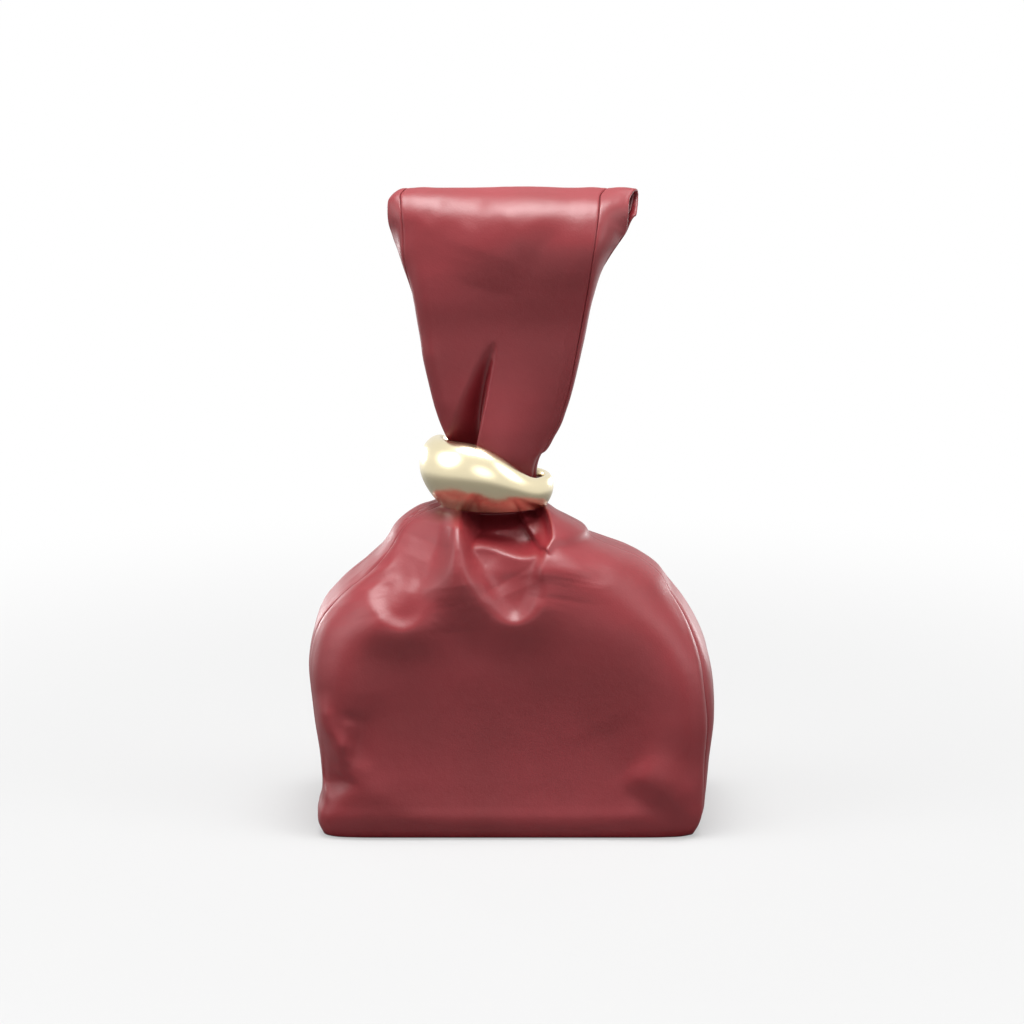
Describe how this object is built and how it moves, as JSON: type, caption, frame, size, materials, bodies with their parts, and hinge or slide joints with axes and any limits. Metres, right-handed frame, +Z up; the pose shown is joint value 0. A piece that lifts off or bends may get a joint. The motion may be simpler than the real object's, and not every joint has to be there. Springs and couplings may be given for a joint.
{
  "type": "pochette bag",
  "caption": "Soft leather pochette: a boxy pouch gathered into a sliding sculpted ring, its leather flaring above into a folded loop handle.",
  "frame": {"origin": "middle of the base's underside, on the floor", "axes": "+Z up, front towards -Y, +X to the right as the front is seen"},
  "size_m": [0.2032, 0.1112, 0.316],
  "materials": {
    "leather": "smooth nappa, soft sheen",
    "lining": "matt cotton twill",
    "board": "raw fibre board",
    "ring": "polished pale gold"
  },
  "bodies": {
    "pouch": {"front_panel": "leather", "back_panel": "leather", "left_gusset": "leather", "right_gusset": "leather", "base_panel": "leather", "base_board": "board", "lining_front": "lining", "lining_back": "lining", "lining_left": "lining", "lining_right": "lining", "lining_base": "lining", "slip_pocket": "lining", "handle_band": "leather", "handle_left_strip": "leather", "handle_right_strip": "leather", "handle_facing": "leather"},
    "ring": {"slide_ring": "ring"}
  },
  "joints": [
    {"name": "ring_slide", "type": "slide", "parent": "pouch", "child": "ring", "axis": [0, 0, 1], "range_m": [0, 0.06], "deforming": ["handle_band", "handle_left_strip", "handle_right_strip", "handle_facing"]}
  ]
}
